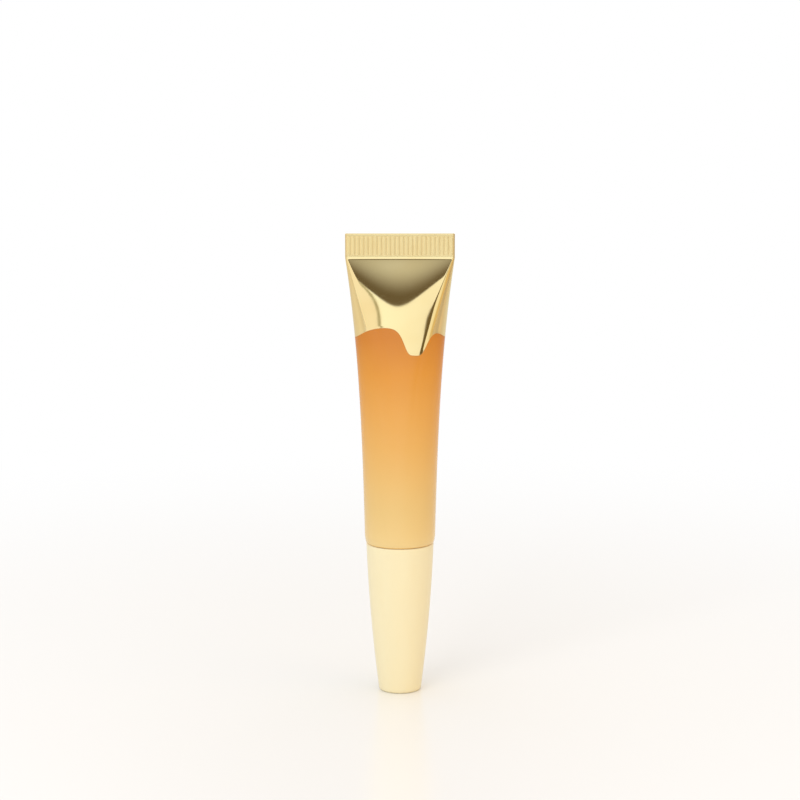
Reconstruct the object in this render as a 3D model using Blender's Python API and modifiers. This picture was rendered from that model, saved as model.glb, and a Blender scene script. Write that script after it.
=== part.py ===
"""A small squeeze tube of nail oil with a soft brush tip, standing on its screw cap.

Metres, +Z up. The origin is the centre of the cap's flat end, which the tube stands on. +Z runs
along the tube to its flat welded end, and the width of that end lies along X.
"""

import math

import bmesh
import bpy

# Gaps between pieces, and the distance that closes a turned seam
SEAT_GAP = 0.0002
JOINT_GAP = 0.0003
MERGE_DISTANCE = 0.000001

# Tube sleeve
TUBE_DIAMETER = 0.016
SLEEVE_LENGTH = 0.0705
SLEEVE_WALL = 0.00045
SLEEVE_EDGE_DRAW = 0.0003
SLEEVE_EDGE_HEIGHT = 0.002
SEAL_HEIGHT = 0.0055
SEAL_CORNER = 0.0002
CAVITY_SETBACK = 0.0012
FLARE_LINEAR_SHARE = 0.37
FLARE_POWER = 3

# Shoulder and neck
SHOULDER_THICKNESS = 0.0015
SHOULDER_FALL = 0.0005
NECK_LENGTH = 0.006
NECK_BORE = 0.0058
NECK_FILLET = 0.0003
FUNNEL_WIDTH = 0.0015

# Cap
CAP_LENGTH = 0.0346
CAP_END_DIAMETER = 0.0096
CAP_WALL = 0.001
CAP_END_WALL = 0.0016
CAP_EDGE_RADIUS = 0.0006
CAP_RIM_RADIUS = 0.0002
CAP_FLOOR_RADIUS = 0.001
TAPER_LINEAR_SHARE = 0.45
RIB_COUNT = 6
RIB_THICKNESS = 0.0006
RIB_DEPTH = 0.0008
RIB_FOOT = 0.002

# Liner of the cap
LINER_RECESS = 0.0004
LINER_WALL = 0.001
LINER_LEDGE = 0.001
LINER_FILLET = 0.0002
THREAD_ROOM = 0.0008
MOUTH_WIDTH = 0.0004

# Sealing washer
WASHER_THICKNESS = 0.0006
WASHER_FILLET = 0.0001

# Ferrule that carries the brush
PLUG_LENGTH = 0.0042
PLUG_LEAD = 0.0003
COLLAR_DIAMETER = 0.0082
COLLAR_THICKNESS = 0.001
CONE_LENGTH = 0.0138
CONE_BASE_DIAMETER = 0.0063
CONE_TIP_DIAMETER = 0.0054
STEP_DROP = 0.0035
STEP_DEPTH = 0.00025
FERRULE_BORE = 0.0036
BRUSH_SOCKET = 0.0044
SOCKET_DEPTH = 0.0041
FERRULE_FILLET = 0.0002

# Flow reducer
REDUCER_FLANGE = 0.0007
REDUCER_STEM = 0.002
REDUCER_ORIFICE = 0.0009
REDUCER_FILLET = 0.00015

# Feed tube
FEED_DIAMETER = 0.0012
FEED_BORE = 0.0006
FEED_COLLAR_THICKNESS = 0.0007
FEED_RISE = 0.0035
FEED_REACH = 0.0018

# Brush
BRUSH_TIP_CLEARANCE = 0.0018
BACKING_THICKNESS = 0.0014
STRAND_COUNT = 340
STRAND_DIAMETER = 0.00011
STRAND_ROOTING = 0.0003
STRAND_EDGE_MARGIN = 0.0001
BELLY_SWELL_SHARE = 1.04
TIP_SPREAD_SHARE = 0.16
BELLY_PLACE_SHARE = 0.34
SHORTEST_STRAND_SHARE = 0.62
BELLY_THICKNESS_SHARE = 0.85

# Oil
OIL_HEIGHT = 0.046

# Facets
SLEEVE_SIDES = 44
CAP_SIDES = 40
NECK_SIDES = 36
FERRULE_SIDES = 28
FEED_SIDES = 16
OIL_SIDES = 32
STRAND_SIDES = 3
SLEEVE_ROWS = 12
CAVITY_ROWS = 8
OIL_ROWS = 6
CAP_ROWS = 8
CAP_CAVITY_ROWS = 5
FILLET_STEPS = 2
SHARP_EDGE_DEGREES = 32

# Heights that pieces share
RIM_HEIGHT = CAP_LENGTH + JOINT_GAP
SEAL_TOP = RIM_HEIGHT + SLEEVE_LENGTH
SEAL_BOTTOM = SEAL_TOP - SEAL_HEIGHT
SHOULDER_TOP = RIM_HEIGHT + SHOULDER_THICKNESS
NECK_END = RIM_HEIGHT - NECK_LENGTH
COLLAR_TOP = NECK_END - SEAT_GAP
COLLAR_BOTTOM = COLLAR_TOP - COLLAR_THICKNESS
FERRULE_TIP = COLLAR_BOTTOM - CONE_LENGTH
PLUG_TOP = COLLAR_TOP + PLUG_LENGTH
SOCKET_TOP = FERRULE_TIP + SOCKET_DEPTH
BACKING_TOP = SOCKET_TOP - SEAT_GAP
BACKING_BOTTOM = BACKING_TOP - BACKING_THICKNESS
BRUSH_TIP = CAP_END_WALL + BRUSH_TIP_CLEARANCE
WASHER_TOP = COLLAR_BOTTOM - SEAT_GAP
WASHER_BOTTOM = WASHER_TOP - WASHER_THICKNESS
LEDGE_TOP = WASHER_BOTTOM - SEAT_GAP
LEDGE_BOTTOM = LEDGE_TOP - LINER_LEDGE
LINER_TOP = CAP_LENGTH - LINER_RECESS
RIB_TOP = LEDGE_BOTTOM - SEAT_GAP

# Radii that pieces share. The thread and the liner lie midway between the neck's bore and
# the cap's rim, so that the neck and the cap's mouth have walls alike.
TUBE_RADIUS = TUBE_DIAMETER / 2
RIM_RADIUS = TUBE_RADIUS - SLEEVE_EDGE_DRAW
CAP_END_RADIUS = CAP_END_DIAMETER / 2
NECK_BORE_RADIUS = NECK_BORE / 2
THREAD_AND_LINER = THREAD_ROOM + LINER_WALL + SEAT_GAP
NECK_RADIUS = (NECK_BORE_RADIUS + RIM_RADIUS - THREAD_AND_LINER) / 2
LINER_BORE_RADIUS = NECK_RADIUS + THREAD_ROOM
LINER_RADIUS = LINER_BORE_RADIUS + LINER_WALL
CAP_SEAT_RADIUS = LINER_RADIUS + SEAT_GAP
CONE_BASE_RADIUS = CONE_BASE_DIAMETER / 2
CONE_TIP_RADIUS = CONE_TIP_DIAMETER / 2
SOCKET_RADIUS = BRUSH_SOCKET / 2
FERRULE_BORE_RADIUS = FERRULE_BORE / 2
FEED_RADIUS = FEED_DIAMETER / 2
SEAL_HALF_DEPTH = SLEEVE_WALL
SEAL_HALF_WIDTH = math.pi / 2 * (TUBE_RADIUS - SEAL_HALF_DEPTH) + SEAL_HALF_DEPTH


def clear_scene():
    for obj in list(bpy.data.objects):
        bpy.data.objects.remove(obj, do_unlink=True)


def new_collection(name, hidden=False):
    collection = bpy.data.collections.new(name)
    collection.hide_render = hidden
    bpy.context.scene.collection.children.link(collection)
    return collection


def plastic(name, colour, roughness):
    material = bpy.data.materials.new(name)
    material.use_nodes = True
    shader = material.node_tree.nodes["Principled BSDF"]
    shader.inputs["Base Color"].default_value = (*colour, 1.0)
    shader.inputs["Roughness"].default_value = roughness
    shader.inputs["Metallic"].default_value = 0
    return material


def piece(name, mesh, collection):
    obj = bpy.data.objects.new(name, mesh)
    collection.objects.link(obj)
    return obj


def shade_round(mesh):
    mesh.shade_smooth()
    mesh.set_sharp_from_angle(angle=math.radians(SHARP_EDGE_DEGREES))


def filleted(corners):
    """Turns (radius, height, fillet) corners of a closed outline into its points."""
    points = []
    for index, (radius, height, fillet) in enumerate(corners):
        if not fillet:
            points.append((radius, height))
            continue
        before = corners[index - 1]
        after = corners[(index + 1) % len(corners)]
        back = (before[0] - radius, before[1] - height)
        ahead = (after[0] - radius, after[1] - height)
        back_length = math.hypot(*back)
        ahead_length = math.hypot(*ahead)
        back = (back[0] / back_length, back[1] / back_length)
        ahead = (ahead[0] / ahead_length, ahead[1] / ahead_length)
        half_angle = math.acos(back[0] * ahead[0] + back[1] * ahead[1]) / 2
        tangent = fillet / math.tan(half_angle)
        tangent = min(tangent, back_length / 2, ahead_length / 2)
        start = (radius + back[0] * tangent, height + back[1] * tangent)
        end = (radius + ahead[0] * tangent, height + ahead[1] * tangent)
        for step in range(FILLET_STEPS + 1):
            along = step / FILLET_STEPS
            start_share = (1 - along) ** 2
            end_share = along**2
            corner_share = 1 - start_share - end_share
            points.append(
                (
                    start[0] * start_share + radius * corner_share + end[0] * end_share,
                    start[1] * start_share + height * corner_share + end[1] * end_share,
                )
            )
    return points


def turned(name, points, sides, collection, closed=True):
    """Screws a profile round Z. It runs down its outer side, and back up inside."""
    profile = bpy.data.meshes.new(name + "_profile")
    edges = [(index, index + 1) for index in range(len(points) - 1)]
    if closed:
        edges.append((len(points) - 1, 0))
    profile.from_pydata([(radius, 0, height) for radius, height in points], edges, [])
    turning = piece(name, profile, collection)
    screw = turning.modifiers.new("turn", "SCREW")
    screw.axis = "Z"
    screw.steps = sides
    screw.render_steps = sides
    screw.use_merge_vertices = True
    screw.merge_threshold = MERGE_DISTANCE
    return baked(turning)


def baked(obj):
    """Makes the object's modifiers part of its mesh."""
    graph = bpy.context.evaluated_depsgraph_get()
    graph.update()
    mesh = bpy.data.meshes.new_from_object(obj.evaluated_get(graph))
    mesh.name = obj.name
    obj.modifiers.clear()
    obj.data = mesh
    shade_round(mesh)
    return obj


def finish(obj, parent, material):
    obj.parent = parent
    obj.data.materials.clear()
    obj.data.materials.append(material)
    return obj


def flare(height):
    """How far the sleeve has gone from round, 0 at the shoulder, to flat, 1 at the weld."""
    along = min(1, max(0, (height - RIM_HEIGHT) / (SEAL_BOTTOM - RIM_HEIGHT)))
    return FLARE_LINEAR_SHARE * along + (1 - FLARE_LINEAR_SHARE) * along**FLARE_POWER


def oval_point(turn, half_width, half_depth, flatness):
    """A point between an ellipse, flatness 0, and a flat strip with round ends, 1."""
    across = half_width * math.cos(turn)
    ellipse = half_depth * abs(math.sin(turn))
    past_strip = abs(across) - (half_width - half_depth)
    strip = half_depth
    if past_strip > 0:
        strip = math.sqrt(max(0, half_depth**2 - past_strip**2))
    depth = ellipse * (1 - flatness) + strip * flatness
    return across, math.copysign(depth, math.sin(turn))


def oval(half_width, half_depth, flatness, sides):
    turns = [2 * math.pi * side / sides for side in range(sides)]
    return [oval_point(turn, half_width, half_depth, flatness) for turn in turns]


def girth(points):
    return sum(math.dist(points[index - 1], points[index]) for index in range(len(points)))


def sleeve_half_sizes(height):
    """Half width and half depth at this height. The girth stays that of the round tube."""
    flat = flare(height)
    half_width = TUBE_RADIUS + (SEAL_HALF_WIDTH - TUBE_RADIUS) * flat
    round_girth = girth(oval(TUBE_RADIUS, TUBE_RADIUS, 0, SLEEVE_SIDES))
    low, high = SEAL_HALF_DEPTH, TUBE_RADIUS
    while high - low > SLEEVE_WALL / SLEEVE_SIDES**2:
        middle = (low + high) / 2
        if girth(oval(half_width, middle, flat, SLEEVE_SIDES)) < round_girth:
            low = middle
        else:
            high = middle
    draw = 1 - min(1, (height - RIM_HEIGHT) / SLEEVE_EDGE_HEIGHT)
    drawn_in = SLEEVE_EDGE_DRAW * draw**2
    half_depth = SEAL_HALF_DEPTH if flat == 1 else high
    return half_width - drawn_in, half_depth - drawn_in


def sleeve_section(height, inset, sides):
    half_width, half_depth = sleeve_half_sizes(height)
    across, deep = half_width - inset, half_depth - inset
    return [(x, y, height) for x, y in oval(across, deep, flare(height), sides)]


def skin_rings(name, rings, collection):
    """Lofts closed rings of equal counts and closes the first and the last."""
    shape = bmesh.new()
    rows = [[shape.verts.new(point) for point in ring] for ring in rings]
    for lower, upper in zip(rows, rows[1:]):
        for side in range(len(lower)):
            following = (side + 1) % len(lower)
            shape.faces.new((lower[side], lower[following], upper[following], upper[side]))
    shape.faces.new(reversed(rows[0]))
    shape.faces.new(rows[-1])
    bmesh.ops.recalc_face_normals(shape, faces=shape.faces)
    mesh = bpy.data.meshes.new(name)
    shape.to_mesh(mesh)
    shape.free()
    shade_round(mesh)
    return piece(name, mesh, collection)


def spaced(low, high, count):
    return [low + (high - low) * index / count for index in range(count + 1)]


def tube_sleeve(collection):
    """The sleeve goes from round to its flat weld, and its cavity is open at the shoulder."""
    edge_heights = spaced(RIM_HEIGHT, RIM_HEIGHT + SLEEVE_EDGE_HEIGHT, FILLET_STEPS)
    wall_heights = spaced(edge_heights[-1], SEAL_BOTTOM, SLEEVE_ROWS)[1:]
    outer = [sleeve_section(height, 0, SLEEVE_SIDES) for height in edge_heights + wall_heights]
    cavity_top = SEAL_BOTTOM - CAVITY_SETBACK
    cavity_heights = spaced(edge_heights[-1], cavity_top, CAVITY_ROWS)[1:]
    inner = [
        sleeve_section(height, SLEEVE_WALL, SLEEVE_SIDES)
        for height in edge_heights + cavity_heights
    ]
    corner = [
        (x, y, SEAL_TOP - SEAL_CORNER) for x, y, _ in sleeve_section(SEAL_TOP, 0, SLEEVE_SIDES)
    ]
    top = sleeve_section(SEAL_TOP, SEAL_CORNER, SLEEVE_SIDES)
    return skin_rings("tube_sleeve", inner[::-1] + outer + [corner, top], collection)


def tube_shoulder(collection):
    """The moulded shoulder closes the sleeve's end, and its neck reaches down into the cap."""
    inset = SLEEVE_WALL + SEAT_GAP
    edge_height = RIM_HEIGHT + SLEEVE_EDGE_HEIGHT / 2
    top_radius = sleeve_half_sizes(SHOULDER_TOP)[1] - inset
    edge_radius = sleeve_half_sizes(edge_height)[1] - inset
    funnel = NECK_BORE_RADIUS + FUNNEL_WIDTH
    corners = [
        (top_radius, SHOULDER_TOP, NECK_FILLET),
        (edge_radius, edge_height, 0),
        (RIM_RADIUS - inset, RIM_HEIGHT, 0),
        (NECK_RADIUS, RIM_HEIGHT, NECK_FILLET),
        (NECK_RADIUS, NECK_END, NECK_FILLET),
        (NECK_BORE_RADIUS, NECK_END, 0),
        (NECK_BORE_RADIUS, RIM_HEIGHT, 0),
        (funnel, SHOULDER_TOP - SHOULDER_FALL, 0),
    ]
    return turned("tube_shoulder", filleted(corners), NECK_SIDES, collection)


def brush_ferrule(collection):
    """A plug for the neck, a collar that seals on the washer, and a stepped cone."""
    plug_radius = NECK_BORE_RADIUS - SEAT_GAP
    collar_radius = COLLAR_DIAMETER / 2
    step_height = COLLAR_BOTTOM - STEP_DROP
    step_along = STEP_DROP / CONE_LENGTH
    step_radius = CONE_BASE_RADIUS + (CONE_TIP_RADIUS - CONE_BASE_RADIUS) * step_along
    corners = [
        (plug_radius - PLUG_LEAD, PLUG_TOP, 0),
        (plug_radius, PLUG_TOP - PLUG_LEAD, 0),
        (plug_radius, COLLAR_TOP, 0),
        (collar_radius, COLLAR_TOP, FERRULE_FILLET),
        (collar_radius, COLLAR_BOTTOM, FERRULE_FILLET),
        (CONE_BASE_RADIUS, COLLAR_BOTTOM, 0),
        (step_radius, step_height, 0),
        (step_radius - STEP_DEPTH, step_height - STEP_DEPTH, 0),
        (CONE_TIP_RADIUS, FERRULE_TIP, FERRULE_FILLET),
        (SOCKET_RADIUS, FERRULE_TIP, 0),
        (SOCKET_RADIUS, SOCKET_TOP, 0),
        (FERRULE_BORE_RADIUS, SOCKET_TOP, 0),
        (FERRULE_BORE_RADIUS, PLUG_TOP, 0),
    ]
    return turned("brush_ferrule", filleted(corners), FERRULE_SIDES, collection)


def flow_reducer(collection):
    """A flanged plug on top of the ferrule, whose small hole slows the oil."""
    flange_radius = NECK_BORE_RADIUS - SEAT_GAP
    stem_radius = FERRULE_BORE_RADIUS - SEAT_GAP
    flange_bottom = PLUG_TOP + SEAT_GAP
    corners = [
        (flange_radius, flange_bottom + REDUCER_FLANGE, REDUCER_FILLET),
        (flange_radius, flange_bottom, 0),
        (stem_radius, flange_bottom, 0),
        (stem_radius, flange_bottom - REDUCER_STEM, REDUCER_FILLET),
        (REDUCER_ORIFICE / 2, flange_bottom - REDUCER_STEM, 0),
        (REDUCER_ORIFICE / 2, flange_bottom + REDUCER_FLANGE, 0),
    ]
    return turned("flow_reducer", filleted(corners), FERRULE_SIDES, collection)


def feed_tube(collection):
    """A fine tube with a collar on the brush's backing, which leads the oil among the bristles."""
    collar_radius = FERRULE_BORE_RADIUS - SEAT_GAP
    collar_bottom = BACKING_TOP + SEAT_GAP
    collar_top = collar_bottom + FEED_COLLAR_THICKNESS
    corners = [
        (FEED_RADIUS, collar_top + FEED_RISE, 0),
        (FEED_RADIUS, collar_top, 0),
        (collar_radius, collar_top, 0),
        (collar_radius, collar_bottom, 0),
        (FEED_RADIUS, collar_bottom, 0),
        (FEED_RADIUS, FERRULE_TIP - FEED_REACH, 0),
        (FEED_BORE / 2, FERRULE_TIP - FEED_REACH, 0),
        (FEED_BORE / 2, collar_top + FEED_RISE, 0),
    ]
    return turned("feed_tube", filleted(corners), FEED_SIDES, collection)


def strand_roots():
    """Even places for the strands on the backing, in a sunflower spiral round the feed tube."""
    widest = SOCKET_RADIUS - SEAT_GAP - STRAND_DIAMETER / 2 - STRAND_EDGE_MARGIN
    widest /= BELLY_SWELL_SHARE
    inside = FEED_RADIUS + SEAT_GAP + STRAND_DIAMETER
    golden_turn = math.pi * (3 - math.sqrt(5))
    for index in range(STRAND_COUNT):
        along = (index + 0.5) / STRAND_COUNT
        radius = math.sqrt(inside**2 + (widest**2 - inside**2) * along)
        yield radius, index * golden_turn, along


def add_strand(shape, radius, turn, along):
    """One tapered strand. All share the same swell, so that none crosses another."""
    length = BACKING_BOTTOM - BRUSH_TIP
    belly = BACKING_BOTTOM - length * BELLY_PLACE_SHARE
    tip_share = 1 - (1 - SHORTEST_STRAND_SHARE) * along
    tip = BACKING_BOTTOM - length * tip_share
    tip_along = (belly - tip) / (belly - BRUSH_TIP)
    tip_spread = BELLY_SWELL_SHARE + (TIP_SPREAD_SHARE - BELLY_SWELL_SHARE) * tip_along
    rows = []
    for height, spread, thickness in (
        (BACKING_BOTTOM + STRAND_ROOTING, 1, 1),
        (belly, BELLY_SWELL_SHARE, BELLY_THICKNESS_SHARE),
    ):
        row = []
        for side in range(STRAND_SIDES):
            facing = turn + 2 * math.pi * side / STRAND_SIDES
            reach = STRAND_DIAMETER / 2 * thickness
            x = radius * spread * math.cos(turn) + reach * math.cos(facing)
            y = radius * spread * math.sin(turn) + reach * math.sin(facing)
            row.append(shape.verts.new((x, y, height)))
        rows.append(row)
    point = shape.verts.new(
        (radius * tip_spread * math.cos(turn), radius * tip_spread * math.sin(turn), tip)
    )
    shape.faces.new(rows[0])
    for upper, lower in zip(rows, rows[1:]):
        for side in range(STRAND_SIDES):
            following = (side + 1) % STRAND_SIDES
            shape.faces.new((upper[following], upper[side], lower[side], lower[following]))
    for side in range(STRAND_SIDES):
        shape.faces.new((rows[-1][(side + 1) % STRAND_SIDES], rows[-1][side], point))


def brush_bristles(collection, helpers):
    """Tapered strands, fused at their roots to the disc that the ferrule grips."""
    backing_radius = SOCKET_RADIUS - SEAT_GAP
    hole_radius = FEED_RADIUS + SEAT_GAP
    ring = [
        (backing_radius, BACKING_TOP),
        (backing_radius, BACKING_BOTTOM),
        (hole_radius, BACKING_BOTTOM),
        (hole_radius, BACKING_TOP),
    ]
    brush = turned("brush_bristles", ring, FERRULE_SIDES, collection)
    shape = bmesh.new()
    for radius, turn, along in strand_roots():
        add_strand(shape, radius, turn, along)
    mesh = bpy.data.meshes.new("strands")
    shape.to_mesh(mesh)
    shape.free()
    strands = helper("strands", mesh, helpers)
    return joined(brush, strands)


def helper(name, mesh, helpers):
    obj = piece(name, mesh, helpers)
    obj.hide_render = True
    obj.display_type = "WIRE"
    return obj


def joined(obj, other):
    union = obj.modifiers.new("join", "BOOLEAN")
    union.operation = "UNION"
    union.solver = "EXACT"
    union.object = other
    return baked(obj)


def cap_radius(height):
    """The cap's outside: a straight taper with a parabola on top, so that its side is full."""
    along = 1 - height / CAP_LENGTH
    taper = TAPER_LINEAR_SHARE * along + (1 - TAPER_LINEAR_SHARE) * along**2
    return RIM_RADIUS - (RIM_RADIUS - CAP_END_RADIUS) * taper


def cap_inside(height):
    """The cavity below the liner. It is never wider than the seat above, so that it draws."""
    return min(CAP_SEAT_RADIUS, cap_radius(height) - CAP_WALL)


def cap_shell(collection, helpers):
    """The outer cap: a tapered cup with a straight seat for the liner, and ribs below it."""
    side_top = CAP_LENGTH - CAP_RIM_RADIUS
    side_bottom = CAP_EDGE_RADIUS
    outer_heights = spaced(side_top, side_bottom, CAP_ROWS)
    floor_top = CAP_END_WALL + CAP_FLOOR_RADIUS
    inner_heights = spaced(floor_top, RIB_TOP - LINER_FILLET, CAP_CAVITY_ROWS)
    floor_radius = cap_inside(CAP_END_WALL)
    points = [(cap_radius(CAP_LENGTH) - CAP_RIM_RADIUS, CAP_LENGTH)]
    points += [(cap_radius(height), height) for height in outer_heights]
    points += round_end(cap_radius(side_bottom), side_bottom, CAP_EDGE_RADIUS, 0)
    points += [(0, 0), (0, CAP_END_WALL)]
    inner_end = round_end(floor_radius, floor_top, CAP_FLOOR_RADIUS, CAP_END_WALL)
    points += inner_end[::-1]
    points += [(cap_inside(height), height) for height in inner_heights]
    points += [(CAP_SEAT_RADIUS, LEDGE_BOTTOM), (CAP_SEAT_RADIUS, side_top)]
    points += [(CAP_SEAT_RADIUS + CAP_RIM_RADIUS, CAP_LENGTH)]
    shell = turned("cap_shell", points, CAP_SIDES, collection)
    return joined(shell, cap_ribs(helpers))


def round_end(radius, height, edge, floor):
    """Points that carry a wall round into a flat end, without its first point."""
    points = []
    for step in range(1, FILLET_STEPS + 1):
        turn = math.pi / 2 * step / FILLET_STEPS
        points.append(
            (radius - edge * (1 - math.cos(turn)), floor + (height - floor) * (1 - math.sin(turn)))
        )
    return points


def cap_ribs(helpers):
    """Flat ribs inside the cap, cut to its taper, on which the liner stands."""
    shape = bmesh.new()
    heights = (CAP_END_WALL + RIB_FOOT, (CAP_END_WALL + RIB_FOOT + RIB_TOP) / 2, RIB_TOP)
    rooted = [(cap_inside(height) + CAP_WALL / 2, height) for height in heights]
    proud = [(cap_inside(height) - RIB_DEPTH, height) for height in heights[1:]]
    outline = rooted + proud[::-1]
    for index in range(RIB_COUNT):
        turn = 2 * math.pi * index / RIB_COUNT
        corners = [
            shape.verts.new(
                (
                    radius * math.cos(turn) + RIB_THICKNESS / 2 * math.sin(turn),
                    radius * math.sin(turn) - RIB_THICKNESS / 2 * math.cos(turn),
                    height,
                )
            )
            for radius, height in outline
        ]
        face = shape.faces.new(corners)
        grown = bmesh.ops.extrude_face_region(shape, geom=[face])
        moved = [item for item in grown["geom"] if isinstance(item, bmesh.types.BMVert)]
        across = (-RIB_THICKNESS * math.sin(turn), RIB_THICKNESS * math.cos(turn), 0)
        bmesh.ops.translate(shape, vec=across, verts=moved)
    bmesh.ops.recalc_face_normals(shape, faces=shape.faces)
    mesh = bpy.data.meshes.new("cap_ribs")
    shape.to_mesh(mesh)
    shape.free()
    return helper("cap_ribs", mesh, helpers)


def cap_liner(collection):
    """The sleeve pressed into the cap, which takes the neck and holds the washer on its ledge."""
    mouth = LINER_BORE_RADIUS + MOUTH_WIDTH
    ledge_hole = CONE_BASE_RADIUS + THREAD_ROOM / 2
    corners = [
        (LINER_RADIUS, LINER_TOP, LINER_FILLET),
        (LINER_RADIUS, LEDGE_BOTTOM, LINER_FILLET),
        (ledge_hole, LEDGE_BOTTOM, LINER_FILLET),
        (ledge_hole, LEDGE_TOP, 0),
        (LINER_BORE_RADIUS, LEDGE_TOP, 0),
        (LINER_BORE_RADIUS, LINER_TOP - MOUTH_WIDTH, 0),
        (mouth, LINER_TOP, 0),
    ]
    return turned("cap_liner", filleted(corners), CAP_SIDES, collection)


def seal_washer(collection):
    """The soft washer that lies on the liner's ledge, under the ferrule's collar."""
    outside = LINER_BORE_RADIUS - SEAT_GAP
    inside = CONE_BASE_RADIUS + SEAT_GAP
    corners = [
        (outside, WASHER_TOP, WASHER_FILLET),
        (outside, WASHER_BOTTOM, WASHER_FILLET),
        (inside, WASHER_BOTTOM, 0),
        (inside, WASHER_TOP, 0),
    ]
    return turned("seal_washer", filleted(corners), CAP_SIDES, collection)


def oil_fill(collection):
    """The oil, which fills the sleeve from the shoulder up to its level."""
    bottom = SHOULDER_TOP + SEAT_GAP
    inset = SLEEVE_WALL + SEAT_GAP
    heights = spaced(bottom, bottom + OIL_HEIGHT, OIL_ROWS)
    rings = [sleeve_section(height, inset, OIL_SIDES) for height in heights]
    return skin_rings("oil_fill", rings, collection)


def axis_empty(name, collection, parent=None):
    """Every joint turns or slides on the Z axis, so the empties all stand at the origin."""
    empty = bpy.data.objects.new(name, None)
    empty.empty_display_size = TUBE_RADIUS
    collection.objects.link(empty)
    empty.parent = parent
    return empty


def main():
    clear_scene()
    parts = new_collection("nail_oil_brush_tube")
    helpers = new_collection("helpers", hidden=True)
    cap = axis_empty("cap_stand", parts)
    turning = axis_empty("tube_turn_axis", parts, cap)
    tube = axis_empty("tube_lift_axis", parts, turning)
    amber = plastic("amber sleeve", (0.80, 0.34, 0.07), 0.35)
    white = plastic("natural plastic", (0.86, 0.85, 0.80), 0.35)
    cream = plastic("cream cap", (0.95, 0.80, 0.48), 0.32)
    soft = plastic("washer foam", (0.90, 0.90, 0.88), 0.7)
    nylon = plastic("brush nylon", (0.88, 0.84, 0.76), 0.4)
    oil = plastic("oil", (0.90, 0.62, 0.18), 0.08)
    finish(tube_sleeve(parts), tube, amber)
    finish(tube_shoulder(parts), tube, white)
    finish(flow_reducer(parts), tube, white)
    finish(brush_ferrule(parts), tube, white)
    finish(feed_tube(parts), tube, white)
    finish(brush_bristles(parts, helpers), tube, nylon)
    finish(oil_fill(parts), tube, oil)
    finish(cap_shell(parts, helpers), cap, cream)
    finish(cap_liner(parts), cap, white)
    finish(seal_washer(parts), turning, soft)


main()
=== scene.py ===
import math

import bmesh
import bpy
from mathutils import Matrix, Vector


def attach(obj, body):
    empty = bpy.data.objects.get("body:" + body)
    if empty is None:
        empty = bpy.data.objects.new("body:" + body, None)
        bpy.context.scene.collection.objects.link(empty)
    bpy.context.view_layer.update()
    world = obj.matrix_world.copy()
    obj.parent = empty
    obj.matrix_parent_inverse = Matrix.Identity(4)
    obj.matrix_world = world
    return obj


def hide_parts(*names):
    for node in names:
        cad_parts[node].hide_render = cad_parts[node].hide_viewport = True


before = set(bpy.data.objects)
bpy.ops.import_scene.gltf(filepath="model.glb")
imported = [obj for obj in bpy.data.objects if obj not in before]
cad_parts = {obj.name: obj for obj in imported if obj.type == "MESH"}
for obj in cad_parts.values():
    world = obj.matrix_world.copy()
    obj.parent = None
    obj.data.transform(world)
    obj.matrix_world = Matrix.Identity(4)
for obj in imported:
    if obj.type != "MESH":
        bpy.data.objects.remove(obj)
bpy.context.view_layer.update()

# Driving sizes in metres, as the solids have them
TUBE_RADIUS = 0.008
SLEEVE_LENGTH = 0.0705
SLEEVE_WALL = 0.00045
WELD_HEIGHT = 0.0055
FLARE_LINEAR_SHARE = 0.37
EDGE_DRAW = 0.0003
EDGE_HEIGHT = 0.002
JOINT_GAP = 0.0003
SEAT_GAP = 0.0002
CAP_LENGTH = 0.0346
CAP_END_RADIUS = 0.0048
CAP_WALL = 0.001
CAP_END_WALL = 0.0016
CAP_EDGE = 0.0006
TAPER_LINEAR_SHARE = 0.45
RIB_COUNT = 6
RIB_THICKNESS = 0.0006
RIB_DEPTH = 0.0008
RIB_START = 0.002
SHOULDER_HEIGHT = 0.0015
NECK_BORE = 0.0029
NECK_LENGTH = 0.006
THREAD_PITCH = 0.0016
THREAD_HEIGHT = 0.00045
THREAD_ROOM = 0.0008
LINER_WALL = 0.001
LINER_SUNK = 0.0004
LINER_LEAD = 0.0004
WASHER_THICKNESS = 0.0006
COLLAR_RADIUS = 0.0041
COLLAR_THICKNESS = 0.001
PLUG_LENGTH = 0.0042
PLUG_LEAD = 0.0003
CONE_LENGTH = 0.0138
CONE_ROOT_RADIUS = 0.00315
CONE_TIP_RADIUS = 0.0027
STEP_RADIUS = 0.00304
STEP_DROP = 0.0035
STEP_DEPTH = 0.00025
FERRULE_BORE = 0.0018
SOCKET_RADIUS = 0.0022
SOCKET_DEPTH = 0.0041
BACKING_THICKNESS = 0.0014
FEED_TUBE_RADIUS = 0.0006
BRUSH_CLEARANCE = 0.0018

# Sizes that follow from them
RIM_HEIGHT = CAP_LENGTH + JOINT_GAP
TUBE_TOP = RIM_HEIGHT + SLEEVE_LENGTH
WELD_BOTTOM = TUBE_TOP - WELD_HEIGHT
WELD_HALF_DEPTH = SLEEVE_WALL
WELD_HALF_WIDTH = math.pi / 2 * (TUBE_RADIUS - WELD_HALF_DEPTH) + WELD_HALF_DEPTH
SHOULDER_TOP = RIM_HEIGHT + SHOULDER_HEIGHT
CAP_RIM_RADIUS = TUBE_RADIUS - EDGE_DRAW
NECK_RADIUS = (NECK_BORE + CAP_RIM_RADIUS - THREAD_ROOM - LINER_WALL - SEAT_GAP) / 2
LINER_BORE = NECK_RADIUS + THREAD_ROOM
LINER_RADIUS = LINER_BORE + LINER_WALL
LINER_TOP = CAP_LENGTH - LINER_SUNK
CAP_SEAT_RADIUS = LINER_RADIUS + SEAT_GAP
NECK_END = RIM_HEIGHT - NECK_LENGTH
COLLAR_TOP = NECK_END - SEAT_GAP
COLLAR_BOTTOM = COLLAR_TOP - COLLAR_THICKNESS
WASHER_TOP = COLLAR_BOTTOM - SEAT_GAP
WASHER_BOTTOM = WASHER_TOP - WASHER_THICKNESS
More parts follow.
